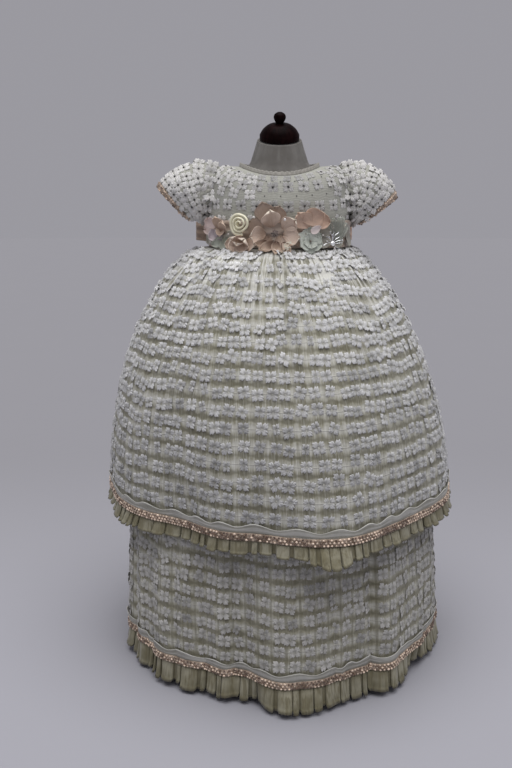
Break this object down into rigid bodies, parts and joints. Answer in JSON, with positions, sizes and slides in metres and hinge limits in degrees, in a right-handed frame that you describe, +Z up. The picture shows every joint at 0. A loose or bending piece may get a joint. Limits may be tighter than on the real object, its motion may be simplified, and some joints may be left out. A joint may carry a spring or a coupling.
{
  "type": "christening gown on dress form",
  "caption": "Christening gown with puffed sleeves, two gathered lace skirts with ruffled hems and a flowered belt, worn on a limbless dress form that stands on its own base.",
  "frame": {"origin": "centre of the form's round base, on its underside", "axes": "+Z up, the gown's front faces -Y, +X is the viewer's right from the front"},
  "size_m": [0.4613, 0.4599, 0.6893],
  "materials": {
    "skirt_lace": "white satin flowers embroidered on a net over an olive-cream lining",
    "bodice_lace": "close white flower lace with small dark stones in the flower centres",
    "organza_ribbon": "thin pale organza with a soft sheen",
    "beaded_braid": "beige-pink braid with dark and golden beads",
    "ruffle_voile": "pleated cream-olive voile",
    "peach_satin": "peach satin and organza",
    "cream_satin": "cream satin",
    "white_satin": "white satin and beads",
    "dusty_pink_cloth": "matt dusty-pink petals",
    "brown_organza": "brown organza",
    "lilac_cloth": "lilac-grey petal cloth",
    "grey_green_cloth": "pale grey-green petal cloth and tulle",
    "pearl": "pearl",
    "jersey": "grey-white jersey stretched over the form",
    "dark_wood": "dark polished wood"
  },
  "bodies": {
    "root": {"back_button_1": "pearl", "back_button_2": "pearl", "back_button_3": "pearl", "base": "dark_wood", "belt_band": "peach_satin", "bodice_back_left": "bodice_lace", "bodice_back_right": "bodice_lace", "bodice_front": "bodice_lace", "bow_knot": "peach_satin", "bow_loop_left": "brown_organza", "bow_loop_right": "peach_satin", "bow_tail_left": "peach_satin", "bow_tail_right": "peach_satin", "brown_petals": "brown_organza", "cap_knob": "dark_wood", "dusty_rose_petals": "dusty_pink_cloth", "form_torso": "jersey", "grey_green_flower": "grey_green_cloth", "lilac_petal": "lilac_cloth", "lower_braid": "beaded_braid", "lower_ribbon": "organza_ribbon", "lower_ruffle": "ruffle_voile", "lower_skirt_back": "skirt_lace", "lower_skirt_front": "skirt_lace", "neck_binding": "organza_ribbon", "neck_cap": "dark_wood", "organza_petal_peach": "peach_satin", "organza_petal_pink": "peach_satin", "pale_leaf": "grey_green_cloth", "pole": "dark_wood", "poppy": "dusty_pink_cloth", "satin_petal_white": "white_satin", "satin_rose": "cream_satin", "sleeve_braid_left": "beaded_braid", "sleeve_braid_right": "beaded_braid", "sleeve_left": "bodice_lace", "sleeve_right": "bodice_lace", "small_brown_flower": "brown_organza", "stamen_spray": "white_satin", "tulle_tuft": "grey_green_cloth", "upper_braid": "beaded_braid", "upper_ribbon": "organza_ribbon", "upper_ruffle": "ruffle_voile", "upper_skirt_back": "skirt_lace", "upper_skirt_front": "skirt_lace"}
  },
  "joints": []
}
